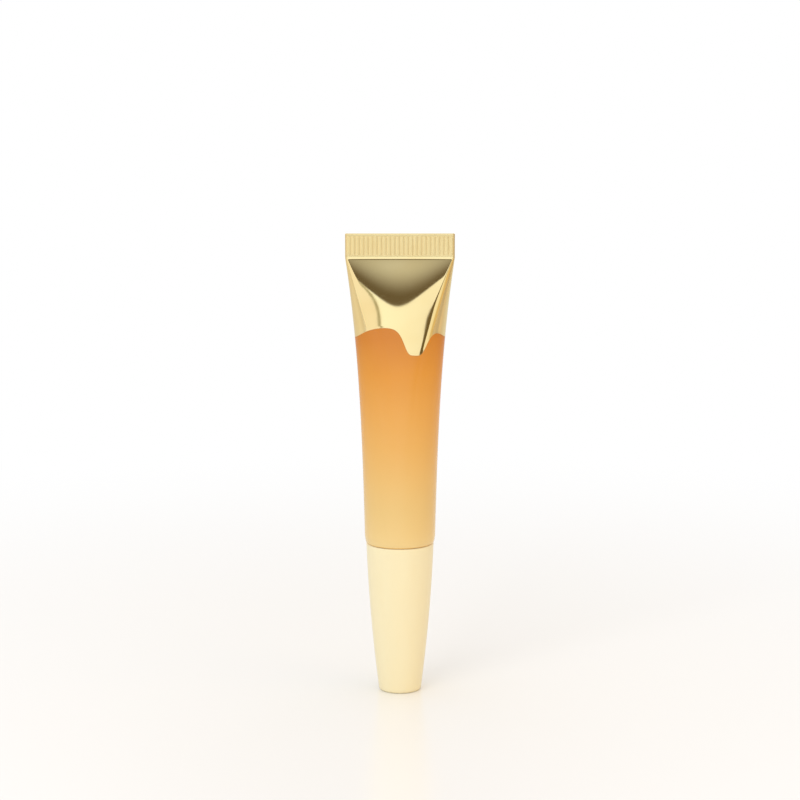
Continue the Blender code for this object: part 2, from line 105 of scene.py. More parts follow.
LEDGE_TOP = WASHER_BOTTOM - SEAT_GAP
LEDGE_BOTTOM = LEDGE_TOP - LINER_WALL
LEDGE_HOLE = CONE_ROOT_RADIUS + 2 * SEAT_GAP
RIB_LOW = CAP_END_WALL + RIB_START
RIB_TOP = LEDGE_BOTTOM - SEAT_GAP
PLUG_TOP = COLLAR_TOP + PLUG_LENGTH
FERRULE_TIP = COLLAR_BOTTOM - CONE_LENGTH
SOCKET_TOP = FERRULE_TIP + SOCKET_DEPTH
BACKING_TOP = SOCKET_TOP - SEAT_GAP
BRUSH_ROOT = BACKING_TOP - BACKING_THICKNESS
BRUSH_TIP = CAP_END_WALL + BRUSH_CLEARANCE

# Fine details in metres, which the solids leave out
LIP_BOTTOM = CAP_LENGTH + 0.00006
NECK_THREAD_BOTTOM = NECK_END + 0.0007
LINER_THREAD_BOTTOM = LEDGE_TOP + 0.0023
HAIR_SUNK = 0.0002
CAP_RIM_FILLET = 0.0002
CAP_FLOOR_FILLET = 0.001
GATE_RADIUS = 0.0005
GATE_DEPTH = 0.00012

# Millimetres in a metre. The finishes work in millimetres
MILLIMETRES = 1000

# What the camera sees
CAMERA_PLACE = (0, -0.4972, 0.1490)
CAMERA_PITCH = 9.3


# Nodes


class Signal:
    """A node's socket. Arithmetic on it adds the node that works it out."""

    def __init__(self, nodes, socket):
        self.nodes = nodes
        self.socket = socket

    def maths(self, operation, *values):
        return self.nodes.add("ShaderNodeMath", {"operation": operation}, dict(enumerate(values)))

    def __add__(self, other):
        return self.maths("ADD", self, other)

    def __radd__(self, other):
        return self.maths("ADD", other, self)

    def __sub__(self, other):
        return self.maths("SUBTRACT", self, other)

    def __rsub__(self, other):
        return self.maths("SUBTRACT", other, self)

    def __mul__(self, other):
        return self.maths("MULTIPLY", self, other)

    def __rmul__(self, other):
        return self.maths("MULTIPLY", other, self)

    def __truediv__(self, other):
        return self.maths("DIVIDE", self, other)

    def __rtruediv__(self, other):
        return self.maths("DIVIDE", other, self)

    def __pow__(self, other):
        return self.maths("POWER", self, other)

    def __lt__(self, other):
        return self.maths("LESS_THAN", self, other)

    def __gt__(self, other):
        return self.maths("GREATER_THAN", self, other)

    def root(self):
        return self.maths("SQRT", self)

    def sine(self):
        return self.maths("SINE", self)

    def cosine(self):
        return self.maths("COSINE", self)

    def size(self):
        return self.maths("ABSOLUTE", self)

    def side(self):
        return self.maths("SIGN", self)

    def least(self, other):
        return self.maths("MINIMUM", self, other)

    def most(self, other):
        return self.maths("MAXIMUM", self, other)

    def rise(self, low, high):
        """0 below low, 1 above high, and a smooth rise between them."""
        settings = {"interpolation_type": "SMOOTHSTEP"}
        return self.nodes.add("ShaderNodeMapRange", settings, {0: self, 1: low, 2: high})

    def blend(self, none, full):
        """The colour none where this is 0 and the colour full where it is 1."""
        settings = {"data_type": "RGBA", "clamp_factor": True}
        return self.nodes.add("ShaderNodeMix", settings, {0: self, 6: none, 7: full}, 2)

    def scaled(self, by):
        """A vector that is stretched by one number or by one for each axis."""
        if isinstance(by, tuple):
            settings, values = {"operation": "MULTIPLY"}, {0: self, 1: by}
        else:
            settings, values = {"operation": "SCALE"}, {0: self, 3: by}
        return self.nodes.add("ShaderNodeVectorMath", settings, values)

    def axes(self):
        """A vector's three coordinates."""
        split = self.nodes.add("ShaderNodeSeparateXYZ", {}, {0: self})
        return split, split.beside("Y"), split.beside("Z")

    def beside(self, output):
        """Another output of the same node."""
        return Signal(self.nodes, self.socket.node.outputs[output])


class Nodes:
    """The nodes of one finish or of one geometry tree."""

    def __init__(self, tree):
        self.tree = tree

    def add(self, kind, settings=None, values=None, output=0):
        """A node of this kind. Its settings come first, then the values or links of its sockets."""
        node = self.tree.nodes.new(kind)
        for name, setting in (settings or {}).items():
            if name == "stops":
                self.set_stops(node.color_ramp, setting)
            else:
                setattr(node, name, setting)
        for place, value in (values or {}).items():
            if isinstance(value, Signal):
                self.tree.links.new(value.socket, node.inputs[place])
            else:
                node.inputs[place].default_value = value
        return Signal(self, node.outputs[output]) if node.outputs else node

    @staticmethod
    def set_stops(ramp, stops):
        """Gives a colour ramp its places and colours."""
        while len(ramp.elements) < len(stops):
            ramp.elements.new(1)
        for element, (place, tone) in zip(ramp.elements, stops):
            element.position = place
            element.color = tone


def colour(red, green, blue):
    """A screen colour from 0 to 255 as the linear colour that a shader takes."""
    linear = []
    for value in (red, green, blue):
        share = value / 255
        low = share / 12.92
        linear.append(low if share <= 0.04045 else ((share + 0.055) / 1.055) ** 2.4)
    return (*linear, 1)


# Finishes


def finish(name, paint, **fixed):
    """A material. paint adds its nodes and gives what feeds the shader's sockets."""
    material = bpy.data.materials.new(name)
    material.use_nodes = True
    material.node_tree.nodes.clear()
    nodes = Nodes(material.node_tree)
    place = nodes.add("ShaderNodeTexCoord", output="Object").scaled(MILLIMETRES)
    fed = paint(nodes, place)
    fed.update({socket.replace("_", " "): value for socket, value in fixed.items()})
    shader = nodes.add("ShaderNodeBsdfPrincipled", {}, fed)
    nodes.add("ShaderNodeOutputMaterial", {"target": "ALL"}, {"Surface": shader})
    return material


def noise(place, scale, detail=2.0, roughness=0.5):
    """Clouds from 0 to 1. The scale is in clouds for each millimetre."""
    values = {"Vector": place, "Scale": scale, "Detail": detail, "Roughness": roughness}
    return place.nodes.add("ShaderNodeTexNoise", {"noise_dimensions": "3D"}, values)


def relief(height, depth):
    """A bump of this depth in metres where height goes from 0 to 1."""
    values = {"Strength": 1.0, "Distance": depth, "Height": height}
    return height.nodes.add("ShaderNodeBump", {}, values)


def gold_colour(place):
    """Pale gold foil with a faint drift of tone."""
    drift = noise(place, scale=0.16, detail=1.5)
    return drift.blend(colour(250, 226, 164), colour(255, 238, 184))


def gold_grain(place):
    """Faint draw lines, stretched along the tube."""
    return noise(place.scaled((1, 1, 0.25)), scale=1.4, detail=1.0)


def ripple(place):
    """The slow unevenness of a moulded or coated surface."""
    return noise(place, scale=0.7, detail=1.0)


# Heights in millimetres, and the film's screen colour at each
SLEEVE_STOPS = (
    (34.9, (247, 215, 147)),
    (38.0, (244, 209, 139)),
    (43.0, (240, 202, 129)),
    (50.0, (240, 194, 116)),
    (58.0, (239, 182, 97)),
    (66.0, (236, 170, 81)),
    (74.0, (229, 154, 57)),
    (82.0, (212, 131, 40)),
    (90.0, (204, 123, 33)),
)
# Millimetres: how far the film's tones drift up and down, the blur of the foil's edge to either
# side, the band above the edge that is pressed in, the painted shadow line below the edge, and the
# heights above the lip where the film's cut edge, with the joint's shade painted on it, ends
FILM_DRIFT = 3.0
FOIL_BLUR = 0.03
FOIL_PRESS = 0.5
FOIL_SHADOW_LINE = (-0.35, -0.02)
CUT_EDGE_SHADE = (0.12, 0.39)


def paint_sleeve(nodes, place):
    """Satin film that goes from cream up to amber, and gold foil above the drip edge."""
    height = place.axes()[2]
    low, high = SLEEVE_STOPS[0][0], SLEEVE_STOPS[-1][0]
    cloud = (noise(place, scale=0.09, detail=1.0) - 0.5) * FILM_DRIFT
    along = (height + cloud - low) / (high - low)
    stops = [((z - low) / (high - low), colour(*tone)) for z, tone in SLEEVE_STOPS]
    film = nodes.add("ShaderNodeValToRGB", {"stops": stops}, {0: along})
    above_edge = nodes.add("ShaderNodeAttribute", {"attribute_name": "foil"}, output="Fac")
    foil = above_edge.rise(-FOIL_BLUR, FOIL_BLUR)
    press = foil * (1 - above_edge.rise(0.0, FOIL_PRESS))
    satin = noise(place, scale=2.6, detail=3.0, roughness=0.6)
    handling = noise(place, scale=0.35, detail=4.0, roughness=0.65)
    grain = gold_grain(place)
    film_rough = 0.17 + satin * 0.04 + handling * 0.06
    foil_rough = 0.015 + grain * 0.015 + handling * 0.035
    surface = ripple(place) * (1 - foil) * 0.3 + grain * foil * 0.08 + foil * 2.2 - press * 0.5
    # Painted shadow: a darker amber line just below the foil's edge, as if the raised foil shaded
    # the film
    painted_edge_shadow = ((above_edge.rise(*FOIL_SHADOW_LINE) - foil) * 0.35).most(0)
    # Painted shade: the film's cut edge at the lip is tinted a darker ochre, standing in for the
    # shaded line of the joint beneath it
    lip = LIP_BOTTOM * MILLIMETRES
    cut_edge_shade = 1 - height.rise(lip + CUT_EDGE_SHADE[0], lip + CUT_EDGE_SHADE[1])
    edged = painted_edge_shadow.blend(film, colour(186, 108, 38))
    edged = cut_edge_shade.blend(edged, colour(234, 186, 106))
    return {
        "Base Color": foil.blend(edged, gold_colour(place)),
        "Metallic": foil,
        "Roughness": film_rough + (foil_rough - film_rough) * foil,
        "Normal": relief(surface, depth=0.000006),
    }


def paint_foil(nodes, place):
    """The same foil where the sealing jaws have dulled it."""
    grain = gold_grain(place)
    return {
        "Base Color": gold_colour(place),
        "Roughness": 0.29 + grain * 0.04,
        "Normal": relief(grain, depth=0.0000008),
    }


# Heights in millimetres between which the cap's foot is rubbed and the hairs are damp
RUBBED_FOOT = (0.2, 1.4)
DAMP_HAIR = (5.0, 16.0)


def paint_cap(nodes, place):
    """Cream moulded plastic, satin, rubbed a little at its foot."""
    height = place.axes()[2]
    satin = noise(place, scale=2.2, detail=3.0, roughness=0.6)
    flow = noise(place.scaled((1, 1, 0.22)), scale=0.42)
    handling = noise(place, scale=0.5, detail=4.0, roughness=0.7)
    rubbed = (1 - height.rise(*RUBBED_FOOT)) * handling.rise(0.45, 0.7)
    base = flow.blend(colour(255, 240, 195), colour(255, 243, 202))
    return {
        "Base Color": (rubbed * 0.5).blend(base, colour(240, 224, 184)),
        "Roughness": 0.29 + satin * 0.03 + handling * 0.05 + rubbed * 0.12,
        "Normal": relief(ripple(place) + flow + rubbed * handling * 2.0, depth=0.000002),
    }


def paint_milky(nodes, place):
    """Natural moulded plastic, a little cloudy, with fine turned marks from its mould."""
    cloud = noise(place, scale=0.8, detail=3.0)
    rings = (place.axes()[2] * 16.0).sine() * 0.5 + 0.5
    return {
        "Base Color": cloud.blend(colour(236, 232, 220), colour(246, 243, 234)),
        "Roughness": 0.26 + cloud * 0.12,
        "Normal": relief(ripple(place) + rings * 0.15, depth=0.000005),
    }


def paint_liner(nodes, place):
    """Unpolished natural plastic, drier than the mouldings that are seen."""
    cloud = noise(place, scale=1.1, detail=3.0)
    grain = noise(place, scale=7.0, detail=3.0, roughness=0.7)
    return {
        "Base Color": cloud.blend(colour(232, 226, 208), colour(242, 238, 224)),
        "Roughness": 0.42 + grain * 0.16,
        "Normal": relief(grain, depth=0.00001),
    }


def paint_hair(nodes, place):
    """Nylon hairs, each with its own tone, damp with oil and darker towards the root."""
    tone = nodes.add("ShaderNodeAttribute", {"attribute_name": "tone"}, output="Fac")
    dampness = place.axes()[2].rise(*DAMP_HAIR)
    dry = tone.blend(colour(250, 245, 232), colour(255, 254, 248))
    return {
        "Base Color": (dampness * 0.35).blend(dry, colour(250, 228, 178)),
        "Roughness": 0.45 + tone * 0.2,
        "Normal": relief(noise(place, scale=9.0), depth=0.000004),
    }


def paint_washer(nodes, place):
    """Soft closed-cell foam."""
    settings = {"feature": "F1", "voronoi_dimensions": "3D"}
    cells = nodes.add("ShaderNodeTexVoronoi", settings, {"Vector": place, "Scale": 6.0})
    pores = cells.rise(0.05, 0.45)
    return {
        "Base Color": pores.blend(colour(206, 204, 196), colour(240, 239, 234)),
        "Roughness": 0.66 + pores * 0.18,
        "Normal": relief(pores, depth=0.00004),
    }


def paint_oil(nodes, place):
    """Amber oil, clear and even, with a slow drift of tone."""
    drift = noise(place, scale=0.12)
    return {
        "Base Color": drift.blend(colour(232, 158, 52), colour(244, 178, 76)),
        "Roughness": 0.04 + drift * 0.04,
        "Normal": relief(drift, depth=0.00001),
    }


sleeve_finish = finish(
    "amber film and gold foil", paint_sleeve, Coat_Weight=0.15, Coat_Roughness=0.1
)
foil_finish = finish("gold foil", paint_foil, Metallic=1.0)
cap_finish = finish("satin cream plastic", paint_cap, Coat_Weight=0.08, Coat_Roughness=0.3)
milky_finish = finish(
    "milky moulded plastic", paint_milky, Subsurface_Weight=0.15, Subsurface_Scale=0.0008
)
liner_finish = finish("dry natural plastic", paint_liner)
hair_finish = finish("damp nylon hair", paint_hair)
washer_finish = finish("closed-cell foam", paint_washer)
oil_finish = finish("amber oil", paint_oil, Coat_Weight=0.6)


# Meshes


def shown(name, mesh):
    """A piece with this mesh, in the scene."""
    piece = bpy.data.objects.new(name, mesh)
    bpy.context.scene.collection.objects.link(piece)
    return piece


def plain(piece):
    """Makes what the piece's modifiers give its own mesh, and removes them."""
    graph = bpy.context.evaluated_depsgraph_get()
    graph.update()
    mesh = bpy.data.meshes.new_from_object(
        piece.evaluated_get(graph), preserve_all_data_layers=True, depsgraph=graph
    )
    piece.modifiers.clear()
    piece.data = mesh
    mesh.name = piece.name
    return piece


MERGE_DISTANCE = 0.000002


def outward(mesh, sharp=32):
    """Merges doubles, turns the faces outwards and shades the mesh round up to an angle."""
    shape = bmesh.new()
    shape.from_mesh(mesh)
    bmesh.ops.remove_doubles(shape, verts=shape.verts, dist=MERGE_DISTANCE)
    bmesh.ops.recalc_face_normals(shape, faces=shape.faces)
    shape.to_mesh(mesh)
    shape.free()
    mesh.shade_smooth()
    mesh.set_sharp_from_angle(angle=math.radians(sharp))


# Fillets of the turned outlines in metres, the steps of each, and how much of the shorter side
# next to it one may take up
FINE_FILLET = 0.0001
EDGE_FILLET = 0.0002
SOFT_FILLET = 0.0003
WIDE_FILLET = 0.0004
FILLET_STEPS = 5
LONGEST_FILLET_SHARE = 0.45


def evenly(low, high, count):
    """Both ends and the values between them, this many equal steps in all."""
    return [low + (high - low) * index / count for index in range(count + 1)]


def rounded(corners):
    """Points of an outline whose (radius, height, fillet) corners are rounded."""
    points = []
    for index, (radius, height, fillet) in enumerate(corners):
        corner = Vector((radius, height))
        if not fillet:
            points.append(corner)
            continue
        back = Vector(corners[index - 1][:2]) - corner
        ahead = Vector(corners[(index + 1) % len(corners)][:2]) - corner
        longest = min(back.length, ahead.length) * LONGEST_FILLET_SHARE
        reach = min(fillet / math.tan(back.angle(ahead) / 2), longest)
        start, end = corner + back.normalized() * reach, corner + ahead.normalized() * reach
        for along in evenly(0, 1, FILLET_STEPS):
            bend = start.lerp(corner, along), corner.lerp(end, along)
            points.append(bend[0].lerp(bend[1], along))
    return points


def quarter(middle, reach, start, end, steps):
    """Points of a quarter circle round middle, between two bearings in degrees."""
    turns = [math.radians(bearing) for bearing in evenly(start, end, steps)]
    radius, height = middle
    return [(radius + reach * math.cos(t), height + reach * math.sin(t)) for t in turns]


def turned(name, points, finish_of, sides=96):
    """Spins a closed outline round Z."""
    shape = bmesh.new()
    row = [shape.verts.new((radius, 0, height)) for radius, height in points]
    edges = [shape.edges.new(pair) for pair in zip(row, row[1:] + row[:1])]
    bmesh.ops.spin(
        shape,
        geom=row + edges,
        cent=(0, 0, 0),
        axis=(0, 0, 1),
        angle=2 * math.pi,
        steps=sides,
        use_merge=True,
    )
    mesh = bpy.data.meshes.new(name)
    shape.to_mesh(mesh)
    shape.free()
    outward(mesh)
    mesh.materials.append(finish_of)
    return shown(name, mesh)


# Geometry trees


def geometry_tree(name, inputs, grow):
    """A geometry tree with named inputs. grow adds its nodes and gives the result."""
    tree = bpy.data.node_groups.new(name, "GeometryNodeTree")
    kinds = {float: "NodeSocketFloat", int: "NodeSocketInt"}
    tree.interface.new_socket("Geometry", in_out="INPUT", socket_type="NodeSocketGeometry")
    for label, value in inputs.items():
        made = tree.interface.new_socket(label, in_out="INPUT", socket_type=kinds[type(value)])
        made.default_value = value
    tree.interface.new_socket("Material", in_out="INPUT", socket_type="NodeSocketMaterial")
    tree.interface.new_socket("Geometry", in_out="OUTPUT", socket_type="NodeSocketGeometry")
    nodes = Nodes(tree)
    given = nodes.add("NodeGroupInput")
    result = grow(nodes, given.beside)
    real = nodes.add("GeometryNodeRealizeInstances", {}, {"Geometry": result})
    smooth = nodes.add("GeometryNodeSetShadeSmooth", {}, {"Geometry": real})
    values = {"Geometry": smooth, "Material": given.beside("Material")}
    coated = nodes.add("GeometryNodeSetMaterial", {}, values)
    nodes.add("NodeGroupOutput", {}, {0: coated})
    return tree


def grown(name, tree, finish_of, mesh=None, **sizes):
    """A piece that a geometry tree makes, as a plain mesh."""
    piece = shown(name, mesh or bpy.data.meshes.new(name))
    modifier = piece.modifiers.new("growth", "NODES")
    modifier.node_group = tree
    values = {label.replace("_", " "): value for label, value in sizes.items()}
    values["Material"] = finish_of
    for item in tree.interface.items_tree:
        if item.in_out == "INPUT" and item.name in values:
            modifier[item.identifier] = values[item.name]
    return plain(piece)


def point(nodes, x, y, z):
    """A position from its three coordinates."""
    return nodes.add("ShaderNodeCombineXYZ", {}, {"X": x, "Y": y, "Z": z})


def placed(nodes, geometry, position):
    """The geometry with its points moved to these positions."""
    values = {"Geometry": geometry, "Position": position}
    return nodes.add("GeometryNodeSetPosition", {}, values)


SLEEVE_INPUTS = {
    "Tube Radius": TUBE_RADIUS,
    "Weld Half Width": WELD_HALF_WIDTH,
    "Weld Half Depth": WELD_HALF_DEPTH,
    "Rim Height": LIP_BOTTOM,
    "Weld Bottom": WELD_BOTTOM,
    "Top": TUBE_TOP,
    "Wall": SLEEVE_WALL,
    "Flare Share": FLARE_LINEAR_SHARE,
    "Edge Draw": EDGE_DRAW,
    "Edge Height": EDGE_HEIGHT,
    "Lip": 0.00022,
    "Sides": 192,
    "Rows": 190,
}
# Rows that turn back inside the lip, and how far up each goes, in edge draws
RETURN_ROWS = 4
RETURN_RISE = 2.5
# How much closer the rows lie at the lip and at the weld's top than halfway up
CROWDING = 0.9
# The power of the narrowing that keeps the girth of the round tube all the way up: at the rim,
# and how it grows with the flatness and with its square
GIRTH_POWER, GIRTH_POWER_GROWTH, GIRTH_POWER_BEND = 0.57, 0.34, 0.07
# The rows past this share are the last one, which closes the weld's top
LAST_ROW_SHARE = 0.9999


def grow_sleeve(nodes, given):
    """A grid of rows and sides, bent from a round tube to a flat weld of the same girth."""
    sides, rows = given("Sides"), given("Rows")
    values = {"Size X": 1.0, "Size Y": 1.0, "Vertices X": sides + 1, "Vertices Y": rows + 1}
    grid = nodes.add("GeometryNodeMeshGrid", {}, values)
    round_share, row_share, _ = grid.beside("UV Map").axes()
    turn = round_share * (2 * math.pi) + math.pi / 2
    row = row_share * rows
    inside = row < RETURN_ROWS - 0.5
    outer = ((row - RETURN_ROWS) / (rows - RETURN_ROWS)).most(0)
    crowded = outer - (outer * (2 * math.pi)).sine() * (CROWDING / (2 * math.pi))
    length = given("Top") - given("Rim Height")
    up_outside = length * crowded
    up_inside = given("Edge Draw") + (RETURN_ROWS - row) * given("Edge Draw") * RETURN_RISE
    up = up_outside * (1 - inside) + up_inside * inside
    height = given("Rim Height") + up
    along = (up / (given("Weld Bottom") - given("Rim Height"))).least(1)
    share = given("Flare Share")
    flat = share * along + (1 - share) * along**3
    half_width = given("Tube Radius") + (given("Weld Half Width") - given("Tube Radius")) * flat
    power = GIRTH_POWER + flat * GIRTH_POWER_GROWTH + flat * flat * GIRTH_POWER_BEND
    narrowing = (1 - flat).most(0) ** power
    half_depth = (
        given("Weld Half Depth") + (given("Tube Radius") - given("Weld Half Depth")) * narrowing
    )
    lip = given("Lip")
    low_rest = (lip - up).most(0)
    top_rest = (lip - (given("Top") - height)).most(0)
    fillets = 2 * lip - (lip * lip - low_rest**2).root() - (lip * lip - top_rest**2).root()
    draw = given("Edge Draw") * (1 - (up / given("Edge Height")).least(1)) ** 2
    inset = draw + fillets * (1 - inside) + given("Wall") * inside
    across = (half_width - inset) * turn.cosine()
    deep = half_depth - inset
    ellipse = deep * turn.sine().size()
    past = (across.size() - (half_width - inset - deep)).most(0)
    strip = (deep * deep - past * past).most(0).root()
    closed_top = 1 - (row_share > LAST_ROW_SHARE)
    depth = (ellipse * (1 - flat) + strip * flat) * turn.sine().side() * closed_top
    return placed(nodes, grid, point(nodes, across, depth, height))


THREAD_INPUTS = {
    "Radius": NECK_RADIUS,
    "Side": 1.0,
    "Ridge Height": THREAD_HEIGHT,
    "Root Width": 0.00078,
    "Crest Width": 0.00026,
    "Pitch": THREAD_PITCH,
    "Turns": 3.0,
    "Bottom": NECK_THREAD_BOTTOM,
    "Start Turn": 0.0,
    "Run Out Share": 0.12,
    "Sunk": 0.00004,
    "Steps": 72,
}


def grow_thread(nodes, given):
    """A ridge that climbs round a cylinder and sinks into it at both ends."""
    turns = given("Turns")
    line = nodes.add("GeometryNodeCurvePrimitiveLine")
    values = {"Curve": line, "Count": turns * given("Steps") + 1}
    points = nodes.add("GeometryNodeResampleCurve", {}, values)
    along = nodes.add("GeometryNodeSplineParameter")
    turn = (along * turns + given("Start Turn")) * (2 * math.pi)
    run_out = given("Run Out Share")
    risen = along.rise(0.0, run_out) * (1 - along).rise(0.0, run_out)
    middle = given("Ridge Height") * (risen - 0.5) - given("Sunk")
    radius = given("Radius") + given("Side") * middle
    height = given("Bottom") + given("Pitch") * turns * along
    climb = placed(
        nodes, points, point(nodes, radius * turn.cosine(), radius * turn.sine(), height)
    )
    upright = nodes.add("GeometryNodeSetCurveNormal", {"mode": "Z_UP"}, {"Curve": climb})
    values = {
        "Bottom Width": given("Root Width"),
        "Top Width": given("Crest Width"),
        "Height": given("Ridge Height") + given("Sunk") * 2,
        "Offset": 0.0,
    }
    ridge = nodes.add("GeometryNodeCurvePrimitiveQuadrilateral", {"mode": "TRAPEZOID"}, values)
    facing = point(nodes, 0.0, 0.0, given("Side") * (-math.pi / 2))
    turned_ridge = nodes.add(
        "GeometryNodeTransform", {}, {"Geometry": ridge, "Rotation": facing}
    )
    values = {"Curve": upright, "Profile Curve": turned_ridge, "Fill Caps": True}
    return nodes.add("GeometryNodeCurveToMesh", {}, values)


HAIR_INPUTS = {
    "Count": 1400,
    "Inner Radius": 0.00086,
    "Outer Radius": 0.00178,
    "Root": BRUSH_ROOT + HAIR_SUNK,
    "Tip": BRUSH_TIP,
    "Hair Radius": 0.000041,
    "Belly": 1.05,
    "Belly Place Share": 0.30,
    "Tip Spread": 0.10,
    "Shortest Share": 0.64,
    "Stray": 0.00004,
    "Rings": 8,
    "Seed": 7,
}
# How a hair's bow shortens it and turns it round the axis, how it draws in below the belly, and
# how it thins towards its end
BOW_SHORTENING = 0.05
BOW_TURN = 0.06
DRAW_IN_POWER = 1.35
THINNING = 0.8
THINNING_POWER = 2.5


def chance(nodes, seed, low, high):
    """A random number for each point."""
    values = {2: low, 3: high, "Seed": seed}
    return nodes.add("FunctionNodeRandomValue", {"data_type": "FLOAT"}, values, 1)


def grow_hairs(nodes, given):
    """Hairs on a sunflower spiral, that swell to a belly and draw in to a point."""
    count = given("Count")
    points = nodes.add("GeometryNodePoints", {}, {"Count": count})
    index = nodes.add("GeometryNodeInputIndex")
    along = (index + 0.5) / count
    inner, outer = given("Inner Radius"), given("Outer Radius")
    radius = (inner * inner + (outer * outer - inner * inner) * along).root()
    kept = {
        "root radius": radius,
        "root turn": index * (math.pi * (3 - math.sqrt(5))),
        "root share": along,
        "tone": chance(nodes, given("Seed"), 0.0, 1.0),
        "lean": chance(nodes, given("Seed") + 1, -1.0, 1.0),
        "bow": chance(nodes, given("Seed") + 2, -1.0, 1.0),
    }
    for name, value in kept.items():
        values = {"Geometry": points, "Name": name, "Value": value}
        points = nodes.add("GeometryNodeStoreNamedAttribute", {}, values)
    line = nodes.add("GeometryNodeCurvePrimitiveLine")
    strand = nodes.add("GeometryNodeResampleCurve", {}, {"Curve": line, "Count": given("Rings")})
    values = {"Points": points, "Instance": strand}
    strands = nodes.add(
        "GeometryNodeRealizeInstances",
        {},
        {"Geometry": nodes.add("GeometryNodeInstanceOnPoints", {}, values)},
    )
    own = {
        name: nodes.add("GeometryNodeInputNamedAttribute", {"data_type": "FLOAT"}, {"Name": name})
        for name in kept
    }
    down = nodes.add("GeometryNodeSplineParameter")
    reach = given("Root") - given("Tip")
    shortened = own["bow"].size() * BOW_SHORTENING
    share = 1 - (1 - given("Shortest Share")) * own["root share"] - shortened
    depth = down * share
    height = given("Root") - reach * depth
    to_belly = depth.rise(0.0, given("Belly Place Share"))
    past = ((depth - given("Belly Place Share")) / (1 - given("Belly Place Share"))).most(0)
    drawn_in = (given("Belly") - given("Tip Spread")) * past**DRAW_IN_POWER
    spread = 1 + (given("Belly") - 1) * to_belly - drawn_in
    stray = given("Stray") * own["lean"] * down**2
    turn = own["root turn"] + own["bow"] * depth * BOW_TURN
    away = own["root radius"] * spread + stray
    strands = placed(
        nodes, strands, point(nodes, away * turn.cosine(), away * turn.sine(), height)
    )
    thickness = given("Hair Radius") * (1 - down**THINNING_POWER * THINNING)
    values = {"Curve": strands, "Radius": thickness}
    strands = nodes.add("GeometryNodeSetCurveRadius", {}, values)
    values = {"Resolution": 5, "Radius": 1.0}
    ring = nodes.add("GeometryNodeCurvePrimitiveCircle", {}, values)
    values = {"Curve": strands, "Profile Curve": ring, "Scale": thickness, "Fill Caps": True}
    return nodes.add("GeometryNodeCurveToMesh", {}, values)


RIB_INPUTS = {"Count": RIB_COUNT}


def grow_ribs(nodes, given):
    """Copies of one rib, spaced evenly round the axis."""
    points = nodes.add("GeometryNodePoints", {}, {"Count": given("Count")})
    index = nodes.add("GeometryNodeInputIndex")
    turn = point(nodes, 0.0, 0.0, index * (2 * math.pi) / given("Count"))
    facing = nodes.add("FunctionNodeEulerToRotation", {}, {"Euler": turn})
    values = {"Points": points, "Instance": given("Geometry"), "Rotation": facing}
    return nodes.add("GeometryNodeInstanceOnPoints", {}, values)


PRESS_INPUTS = {
    "Count": 24,
    "Spacing": 0.001,
    "Bar Length": 0.0043,
    "Bar Half Width": 0.00058,
    "Bar Half Depth": 0.00015,
    "Proud": 0.00006,
    "Half Depth": WELD_HALF_DEPTH,
    "Middle Height": (WELD_BOTTOM + TUBE_TOP) / 2,
}


def grow_press_lines(nodes, given):
    """Fine upright bars that the sealing jaws press on both sides of the weld."""
    values = {"Vertices": 20, "Radius": 1.0, "Depth": 1.0}
    rod = nodes.add("GeometryNodeMeshCylinder", {"fill_type": "TRIANGLE_FAN"}, values)
    section = point(nodes, given("Bar Half Width"), given("Bar Half Depth"), given("Bar Length"))
    bar = nodes.add("GeometryNodeTransform", {}, {"Geometry": rod, "Scale": section})
    rows = []
    for side in (-1, 1):
        start = point(
            nodes,
            given("Spacing") * (1 - given("Count")) / 2,
            (given("Half Depth") + given("Proud") - given("Bar Half Depth")) * side,
            given("Middle Height"),
        )
        step = point(nodes, given("Spacing"), 0.0, 0.0)
        values = {"Count": given("Count"), "Start Location": start, "Offset": step}
        line = nodes.add("GeometryNodeMeshLine", {"mode": "OFFSET"}, values)
        values = {"Points": line, "Instance": bar}
        rows.append(nodes.add("GeometryNodeInstanceOnPoints", {}, values))
    both = nodes.add("GeometryNodeJoinGeometry", {}, {0: rows[0]})
    nodes.tree.links.new(rows[1].socket, both.socket.node.inputs[0])
    return both


sleeve_tree = geometry_tree("round to flat sleeve", SLEEVE_INPUTS, grow_sleeve)
thread_tree = geometry_tree("screw thread", THREAD_INPUTS, grow_thread)
hair_tree = geometry_tree("brush hairs", HAIR_INPUTS, grow_hairs)
rib_tree = geometry_tree("ribs round the axis", RIB_INPUTS, grow_ribs)
press_tree = geometry_tree("pressed lines of the weld", PRESS_INPUTS, grow_press_lines)


# The tube

# Each drip of the foil: the turn of its tip from the front and its half widths to the left and
# right, in degrees, and its length in metres below the foil's highest edge
FOIL_EDGE_TOP = 0.08525
FOIL_DRIPS = (
    (-157, 17, 15, 0.0064),
    (-100, 30, 52, 0.0031),
    (19, 15.5, 19, 0.0064),
    (100, 45, 26, 0.0030),
    (146, 14, 15, 0.0034),
)
DRIP_STEEPNESS = 4


def foil_edge(turn):
    """Height of the foil's lower edge, by the turn in degrees from the front."""
    height = FOIL_EDGE_TOP
    for tip, left, right, length in FOIL_DRIPS:
        away = (turn - tip + 180) % 360 - 180
        height -= length / (1 + (away / (left if away < 0 else right)) ** DRIP_STEEPNESS)
    return height


def half_width(height):
    """Half the width of the sleeve, which flares from the rim to the weld."""
    along = min(1, max(0, (height - RIM_HEIGHT) / (WELD_BOTTOM - RIM_HEIGHT)))
    flat = FLARE_LINEAR_SHARE * along + (1 - FLARE_LINEAR_SHARE) * along**3
    return TUBE_RADIUS + (WELD_HALF_WIDTH - TUBE_RADIUS) * flat


def mark_foil(mesh):
    """Stores how far each point lies above the foil's lower edge, in millimetres."""
    marks = mesh.attributes.new("foil", "FLOAT", "POINT")
    for vertex, mark in zip(mesh.vertices, marks.data):
        share = max(-1, min(1, vertex.co.x / half_width(vertex.co.z)))
        turn = math.degrees(math.asin(share))
        if vertex.co.y > 0:
            turn = math.copysign(180, turn) - turn
        mark.value = (vertex.co.z - foil_edge(turn)) * MILLIMETRES


